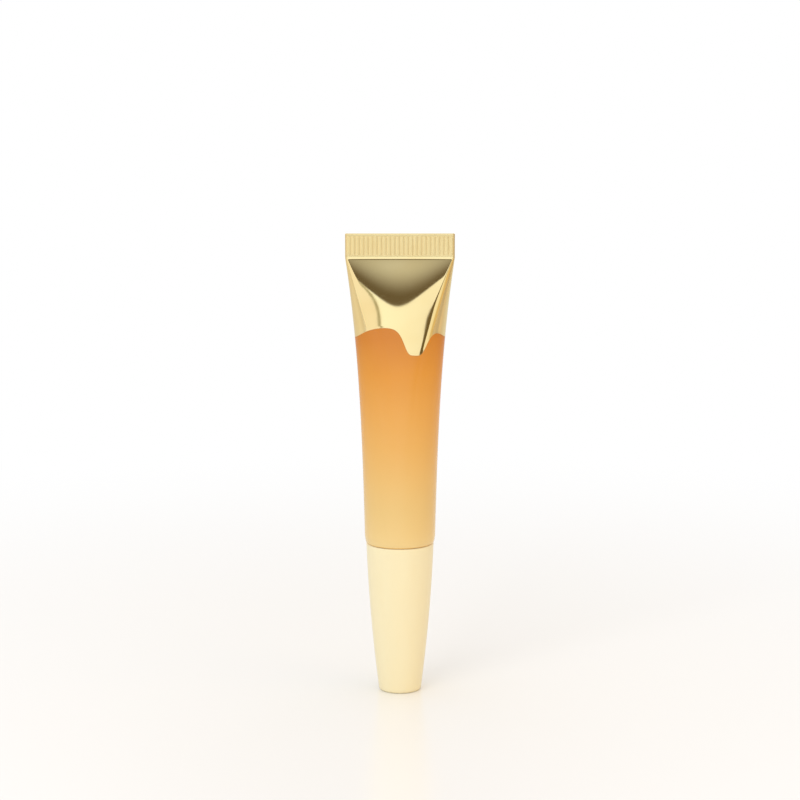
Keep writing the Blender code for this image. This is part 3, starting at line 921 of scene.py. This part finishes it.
sleeve = grown("sleeve_film", sleeve_tree, sleeve_finish)
outward(sleeve.data, sharp=40)
mark_foil(sleeve.data)
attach(sleeve, "tube")
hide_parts("tube_sleeve")

press_lines = grown("weld_press_lines", press_tree, foil_finish)
outward(press_lines.data, sharp=60)
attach(press_lines, "tube")

# The shoulder fills the sleeve's rim, and a shallow ring under it faces the cap's rim
shoulder_inset = SLEEVE_WALL + SEAT_GAP
shoulder_draw = 0.00008
ring_outer, ring_inner, ring_depth, ring_slope = 0.0073, 0.0066, 0.00016, 0.0001
ring_corner, ring_fillet = 0.00003, 0.00005
funnel_width, funnel_fall = 0.0015, 0.0005
shoulder = turned(
    "shoulder_and_neck",
    rounded(
        [
            (TUBE_RADIUS - shoulder_draw - shoulder_inset, SHOULDER_TOP, SOFT_FILLET),
            (TUBE_RADIUS - EDGE_DRAW / 2 - shoulder_inset, RIM_HEIGHT + EDGE_HEIGHT / 2, 0),
            (CAP_RIM_RADIUS - shoulder_inset, RIM_HEIGHT, 0),
            (ring_outer, RIM_HEIGHT, ring_corner),
            (ring_outer, RIM_HEIGHT - ring_depth, ring_fillet),
            (ring_inner, RIM_HEIGHT - ring_depth, ring_fillet),
            (ring_inner - ring_slope, RIM_HEIGHT, 0),
            (NECK_RADIUS, RIM_HEIGHT, SOFT_FILLET),
            (NECK_RADIUS, NECK_END, SOFT_FILLET),
            (NECK_BORE, NECK_END, FINE_FILLET),
            (NECK_BORE, RIM_HEIGHT, WIDE_FILLET),
            (NECK_BORE + funnel_width, SHOULDER_TOP - funnel_fall, WIDE_FILLET),
        ]
    ),
    milky_finish,
)
neck_thread = grown("neck_thread", thread_tree, milky_finish)
liner_thread = grown(
    "liner_thread",
    thread_tree,
    liner_finish,
    Radius=LINER_BORE,
    Side=-1.0,
    Turns=3.2,
    Bottom=LINER_THREAD_BOTTOM,
    Start_Turn=0.125,
    Ridge_Height=0.0005,
)
for thread in (neck_thread, liner_thread):
    outward(thread.data, sharp=50)
for piece, body, slot in (
    (shoulder, "tube", "moulding"),
    (neck_thread, "tube", "moulding"),
    (liner_thread, "cap", "liner"),
):
    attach(piece, body)
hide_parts("tube_shoulder")

# The brush and what carries it

plug_radius = NECK_BORE - SEAT_GAP
step_top = COLLAR_BOTTOM - STEP_DROP
cone_fillet, mouth_fillet = 0.00025, 0.00012
ferrule = turned(
    "ferrule",
    rounded(
        [
            (plug_radius - PLUG_LEAD, PLUG_TOP, 0),
            (plug_radius, PLUG_TOP - PLUG_LEAD, EDGE_FILLET),
            (plug_radius, COLLAR_TOP, 0),
            (COLLAR_RADIUS, COLLAR_TOP, EDGE_FILLET),
            (COLLAR_RADIUS, COLLAR_BOTTOM, EDGE_FILLET),
            (CONE_ROOT_RADIUS, COLLAR_BOTTOM, cone_fillet),
            (STEP_RADIUS, step_top, FINE_FILLET),
            (STEP_RADIUS - STEP_DEPTH, step_top - STEP_DEPTH, FINE_FILLET),
            (CONE_TIP_RADIUS, FERRULE_TIP, EDGE_FILLET),
            (SOCKET_RADIUS, FERRULE_TIP, mouth_fillet),
            (SOCKET_RADIUS, SOCKET_TOP, 0),
            (FERRULE_BORE, SOCKET_TOP, 0),
            (FERRULE_BORE, PLUG_TOP, FINE_FILLET),
        ]
    ),
    milky_finish,
)
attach(ferrule, "tube")
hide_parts("brush_ferrule")

hairs = grown("brush_hairs", hair_tree, hair_finish)
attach(hairs, "tube")
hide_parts("brush_bristles")

backing_radius = SOCKET_RADIUS - SEAT_GAP
backing_hole = FEED_TUBE_RADIUS + SEAT_GAP
backing = turned(
    "hair_backing",
    rounded(
        [
            (backing_radius, BACKING_TOP, FINE_FILLET),
            (backing_radius, BRUSH_ROOT, EDGE_FILLET),
            (backing_hole, BRUSH_ROOT, FINE_FILLET),
            (backing_hole, BACKING_TOP, FINE_FILLET),
        ]
    ),
    hair_finish,
    sides=64,
)
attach(backing, "tube")

# The cap

# How far the middle of a small round edge lies from the corner, as a share of its radius
ROUND_SHARE = 0.3
# How the gate mark's slope widens towards the end face, and how much shallower its middle is
GATE_SLOPE, GATE_MIDDLE = 1.4, 0.7
# The ribs grow to their full depth over this height
RIB_LEAD = RIB_TOP / 3


def cap_radius(height):
    """Radius of the cap's outside, which tapers towards its end."""
    along = 1 - height / CAP_LENGTH
    taper = TAPER_LINEAR_SHARE * along + (1 - TAPER_LINEAR_SHARE) * along**2
    return CAP_RIM_RADIUS - (CAP_RIM_RADIUS - CAP_END_RADIUS) * taper


def cap_inside(height):
    """Radius of the cap's inside, up to the liner's seat."""
    return min(CAP_SEAT_RADIUS, cap_radius(height) - CAP_WALL)


def cap_outline():
    """Down the outside, round the edge, across the end with its gate mark, and up inside."""
    side_top = CAP_LENGTH - CAP_RIM_FILLET
    points = quarter((CAP_RIM_RADIUS - CAP_RIM_FILLET, side_top), CAP_RIM_FILLET, 90, 0, steps=4)
    points += [(cap_radius(z), z) for z in evenly(side_top, CAP_EDGE, 40)[1:]]
    foot = cap_radius(CAP_EDGE)
    points += quarter((foot - CAP_EDGE, CAP_EDGE), CAP_EDGE, 0, -90, steps=8)[1:]
    points += [(GATE_RADIUS * GATE_SLOPE, 0), (GATE_RADIUS, GATE_DEPTH)]
    points += [(0, GATE_DEPTH * GATE_MIDDLE), (0, CAP_END_WALL)]
    floor_edge = cap_inside(CAP_END_WALL) - CAP_FLOOR_FILLET
    floor_rise = CAP_END_WALL + CAP_FLOOR_FILLET
    points += quarter((floor_edge, floor_rise), CAP_FLOOR_FILLET, -90, 0, steps=6)
    points += [(cap_inside(z), z) for z in evenly(floor_rise, RIB_TOP - SEAT_GAP, 16)[1:]]
    points += [(CAP_SEAT_RADIUS, LEDGE_BOTTOM), (CAP_SEAT_RADIUS, side_top)]
    cut = CAP_RIM_FILLET * ROUND_SHARE
    points += [(CAP_SEAT_RADIUS + cut, CAP_LENGTH - cut)]
    points += [(CAP_SEAT_RADIUS + CAP_RIM_FILLET, CAP_LENGTH)]
    return points


def one_rib():
    """A flat rib inside the cap at +X, cut to the taper, with a drafted edge."""
    heights = evenly(RIB_LOW, RIB_TOP, 10)
    rooted = [(cap_inside(z) + CAP_WALL / 2, z) for z in heights]
    proud = []
    for z in heights[1:]:
        proud.append((cap_inside(z) - RIB_DEPTH * min(1, (z - RIB_LOW) / RIB_LEAD), z))
    shape = bmesh.new()
    outline = rooted + proud[::-1]
    face = shape.faces.new(
        [shape.verts.new((radius, -RIB_THICKNESS / 2, z)) for radius, z in outline]
    )
    extruded = bmesh.ops.extrude_face_region(shape, geom=[face])
    moved = [item for item in extruded["geom"] if isinstance(item, bmesh.types.BMVert)]
    bmesh.ops.translate(shape, vec=(0, RIB_THICKNESS, 0), verts=moved)
    bmesh.ops.recalc_face_normals(shape, faces=shape.faces)
    mesh = bpy.data.meshes.new("one_rib")
    shape.to_mesh(mesh)
    shape.free()
    return mesh


cap = turned("cap_outer", cap_outline(), cap_finish, sides=128)
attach(cap, "cap")
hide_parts("cap_shell")

ribs = grown("cap_ribs", rib_tree, cap_finish, one_rib())
outward(ribs.data, sharp=30)
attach(ribs, "cap")

liner = turned(
    "liner_body",
    rounded(
        [
            (LINER_RADIUS, LINER_TOP, EDGE_FILLET),
            (LINER_RADIUS, LEDGE_BOTTOM, EDGE_FILLET),
            (LEDGE_HOLE, LEDGE_BOTTOM, EDGE_FILLET),
            (LEDGE_HOLE, LEDGE_TOP, FINE_FILLET),
            (LINER_BORE, LEDGE_TOP, FINE_FILLET),
            (LINER_BORE, LINER_TOP - LINER_LEAD, FINE_FILLET),
            (LINER_BORE + LINER_LEAD, LINER_TOP, FINE_FILLET),
        ]
    ),
    liner_finish,
)
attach(liner, "cap")
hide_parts("cap_liner")

washer_radius = LINER_BORE - SEAT_GAP
washer_hole = CONE_ROOT_RADIUS + SEAT_GAP
washer_fillet = 0.00015
washer = turned(
    "foam_washer",
    rounded(
        [
            (washer_radius, WASHER_TOP, washer_fillet),
            (washer_radius, WASHER_BOTTOM, washer_fillet),
            (washer_hole, WASHER_BOTTOM, FINE_FILLET),
            (washer_hole, WASHER_TOP, FINE_FILLET),
        ]
    ),
    washer_finish,
)
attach(washer, "washer")
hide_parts("seal_washer")

# Solids that stay as they are

for node, finish_of in (
    ("flow_reducer", milky_finish),
    ("feed_tube", milky_finish),
    ("oil_fill", oil_finish),
):
    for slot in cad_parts[node].material_slots:
        slot.material = finish_of

# Floor, light and camera

FLOOR_REACH = 40
FLOOR_FADE = (0.05, 0.30)
FLOOR_TONE = (0.82, 0.82, 0.81, 1)
FLOOR_TONE_SEEN = (0.955, 0.95, 0.94, 1)


def floor_finish():
    """Pale and a little glossy. Far off it gives way to plain white."""
    material = bpy.data.materials.new("pale floor")
    material.use_nodes = True
    material.node_tree.nodes.clear()
    nodes = Nodes(material.node_tree)
    seen = nodes.add("ShaderNodeLightPath", output="Is Camera Ray")
    pale = seen.blend(FLOOR_TONE, FLOOR_TONE_SEEN)
    shader = nodes.add("ShaderNodeBsdfPrincipled", {}, {"Base Color": pale, "Roughness": 0.22})
    white = nodes.add("ShaderNodeEmission", {}, {"Strength": 1.0})
    place = nodes.add("ShaderNodeTexCoord", output="Object")
    away = nodes.add("ShaderNodeVectorMath", {"operation": "LENGTH"}, {0: place}, 1)
    values = {0: seen * away.rise(*FLOOR_FADE), 1: shader, 2: white}
    surface = nodes.add("ShaderNodeMixShader", {}, values)
    nodes.add("ShaderNodeOutputMaterial", {"target": "ALL"}, {"Surface": surface})
    return material


def make_floor():
    """A level square, wide enough to have no edge in view."""
    shape = bmesh.new()
    bmesh.ops.create_grid(shape, x_segments=8, y_segments=8, size=FLOOR_REACH)
    mesh = bpy.data.meshes.new("floor")
    shape.to_mesh(mesh)
    shape.free()
    mesh.materials.append(floor_finish())
    return shown("floor", mesh)


make_floor()

# What gloss sees all round: bearings in degrees from the front, and the tone at each
STUDIO_SIDES = (
    (-168, (1.0, 1.0, 1.0)),
    (-152, (0.50, 0.29, 0.10)),
    (-120, (0.60, 0.37, 0.15)),
    (-95, (0.88, 0.74, 0.54)),
    (-57, (0.92, 0.82, 0.66)),
    (-56, (0.74, 0.70, 0.60)),
    (-54, (0.74, 0.70, 0.60)),
    (-53, (0.96, 0.91, 0.85)),
    (-13.5, (0.98, 0.93, 0.87)),
    (-11.9, (1.07, 1.12, 1.14)),
    (0, (1.05, 1.07, 1.07)),
    (18, (0.98, 0.97, 0.95)),
    (21, (1.0, 0.95, 0.82)),
    (32, (0.96, 0.88, 0.70)),
    (37, (0.72, 0.56, 0.31)),
    (52, (0.78, 0.55, 0.30)),
    (70, (0.40, 0.23, 0.08)),
    (150, (0.36, 0.20, 0.07)),
    (166, (1.0, 1.0, 1.0)),
)
# Dark uprights: their bearings from the front, how soft their edges are, and their tone
STUDIO_POSTS = (
    ((-13.4, -12.0), 0.4, (0.42, 0.39, 0.28)),
    ((17.1, 23.0), 0.4, (0.15, 0.11, 0.05)),
)
# How the sides lean inwards: the heights between which they do, and by how much
LEAN_LEFT = ((0.14, 0.42), 1.5)
LEAN_RIGHT = ((0.10, 0.30), 0.7)
# The dark strip overhead: how far to the left its middle lies, how it sags away from there, the
# heights between which its lower and its upper edge fade, and its tone
STRIP_LEFT = 0.02
STRIP_SAG = 3.5
STRIP_LOWER = (0.33, 0.34)
STRIP_UPPER = (0.37, 0.54)
STRIP_TONE = (0.14, 0.11, 0.07, 1)
# The light that matt surfaces get from all round: cool on the left, and warm on the right
WALL_TURN = (-0.3, 1.0)
WALL_COOL = (0.72, 0.72, 0.725, 1)
WALL_WARM = (0.81, 0.72, 0.61, 1)


def make_studio():
    """White all round. Gloss also sees flags at the sides and a dark strip overhead."""
    world = bpy.data.worlds.new("studio")
    bpy.context.scene.world = world
    world.use_nodes = True
    world.node_tree.nodes.clear()
    nodes = Nodes(world.node_tree)
    across, deep, up = nodes.add("ShaderNodeTexCoord", output="Generated").axes()
    seen = nodes.add("ShaderNodeLightPath", output="Is Camera Ray")
    gloss = seen.beside("Is Glossy Ray")
    (left_heights, left_lean), (right_heights, right_lean) = LEAN_LEFT, LEAN_RIGHT
    lean = up.rise(*left_heights) * (across < 0) * left_lean
    lean = lean + up.rise(*right_heights) * (across > 0) * right_lean
    turn = across.maths("ARCTAN2", across, 0 - deep) * (1 + lean)
    bearing = turn / (2 * math.pi) + 0.5
    stops = [((degrees + 180) / 360, (*tone, 1)) for degrees, tone in STUDIO_SIDES]
    sides = nodes.add("ShaderNodeValToRGB", {"stops": stops}, {0: bearing})
    for (low, high), soft, tone in STUDIO_POSTS:
        low, high, soft = math.radians(low), math.radians(high), math.radians(soft)
        post = turn.rise(low - soft, low + soft) * (1 - turn.rise(high - soft, high + soft))
        sides = post.blend(sides, (*tone, 1))
    off_centre = across + STRIP_LEFT
    lifted = up - off_centre * off_centre * STRIP_SAG
    overhead = lifted.rise(*STRIP_LOWER) * (1 - up.rise(*STRIP_UPPER))
    reflected = overhead.blend(sides, STRIP_TONE)
    wall = across.rise(*WALL_TURN).blend(WALL_COOL, WALL_WARM)
    surroundings = seen.blend(gloss.blend(wall, reflected), (1.0, 1.0, 1.0, 1))
    values = {"Color": surroundings, "Strength": 1.0}
    background = nodes.add("ShaderNodeBackground", {}, values)
    nodes.add("ShaderNodeOutputWorld", {"target": "ALL"}, {"Surface": background})


# Softboxes: names, places, widths, watts and tints. All of them aim at the middle of the tube
SOFTBOXES = (
    ("key", (-0.40, -0.68, 0.42), 0.5, 2.2, (1, 1, 1)),
    ("fill", (0.65, -0.3, 0.1), 0.5, 0.95, (1, 0.66, 0.26)),
    ("top", (0, 0.05, 0.8), 0.6, 1.2, (1, 1, 1)),
)
LAMP_AIM = Vector((0, 0, 0.05))


def softbox(name, place, width, watts, tint):
    """A square lamp that lights the tube and isn't seen in its gloss."""
    light = bpy.data.lights.new(name, "AREA")
    light.color = tint
    light.shape = "SQUARE"
    light.size = width
    light.energy = watts
    lamp = bpy.data.objects.new(name, light)
    lamp.location = place
    lamp.rotation_euler = (LAMP_AIM - Vector(place)).to_track_quat("-Z", "Y").to_euler()
    lamp.visible_glossy = False
    bpy.context.scene.collection.objects.link(lamp)


make_studio()
for values in SOFTBOXES:
    softbox(*values)

camera = bpy.data.objects.new("camera", bpy.data.cameras.new("camera"))
camera.data.lens = 100
camera.data.sensor_width = 36
camera.data.clip_start = 0.01
camera.location = CAMERA_PLACE
camera.rotation_euler = (math.radians(90 - CAMERA_PITCH), 0, 0)
bpy.context.scene.collection.objects.link(camera)
bpy.context.scene.camera = camera
bpy.context.scene.view_settings.view_transform = "Standard"
